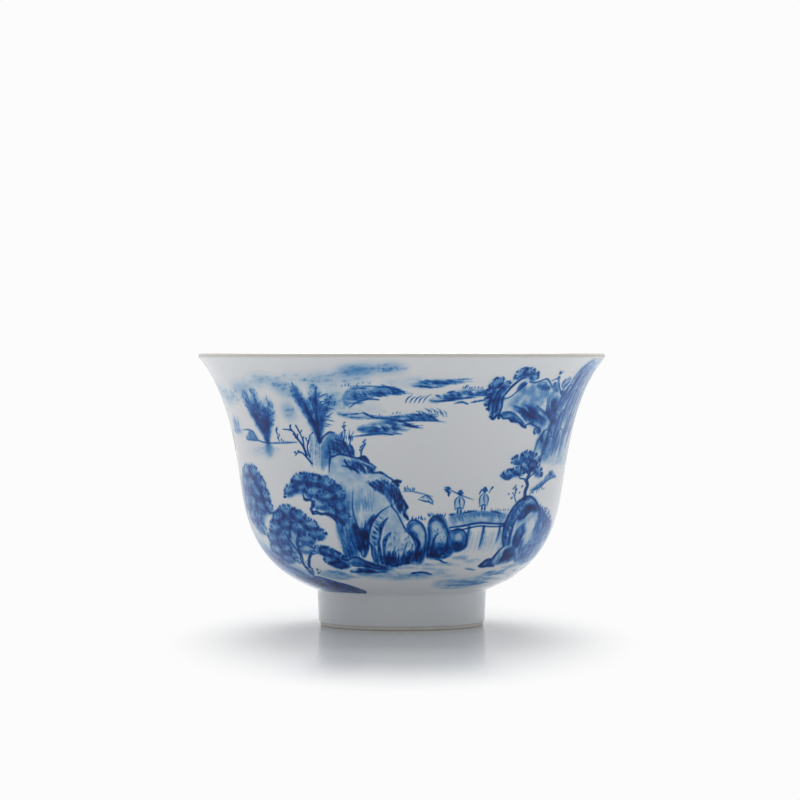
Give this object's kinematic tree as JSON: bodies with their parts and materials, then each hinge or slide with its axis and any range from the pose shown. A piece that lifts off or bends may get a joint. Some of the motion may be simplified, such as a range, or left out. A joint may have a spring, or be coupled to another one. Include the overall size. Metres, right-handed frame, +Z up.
{
  "type": "teacup",
  "caption": "Handleless flared porcelain teacup: a rounded bowl with an everted lip on a low turned foot ring, blue landscape painting under a clear glaze.",
  "frame": {"origin": "on the cup's axis, in the plane of the foot ring's land that it stands on", "axes": "+Z up along the cup's axis of revolution; the front of the painting faces -Y, with +X to the right of it"},
  "size_m": [0.08, 0.08, 0.0535],
  "materials": {
    "porcelain_body": "fired white porcelain clay under the glaze",
    "biscuit_foot": "unglazed wiped foot ring, smooth and matt",
    "clear_glaze": "clear bright glaze with a faint cool cast, glossy, over white clay",
    "underglaze_cobalt": "cobalt brush painting in pale wash to dark line, sealed under the clear glaze"
  },
  "bodies": {
    "root": {"porcelain_bowl": "porcelain_body", "foot_ring": "biscuit_foot", "outer_glaze": "clear_glaze", "inner_glaze": "clear_glaze", "lip_glaze": "clear_glaze", "foot_glaze": "clear_glaze", "base_glaze": "clear_glaze"}
  },
  "joints": []
}
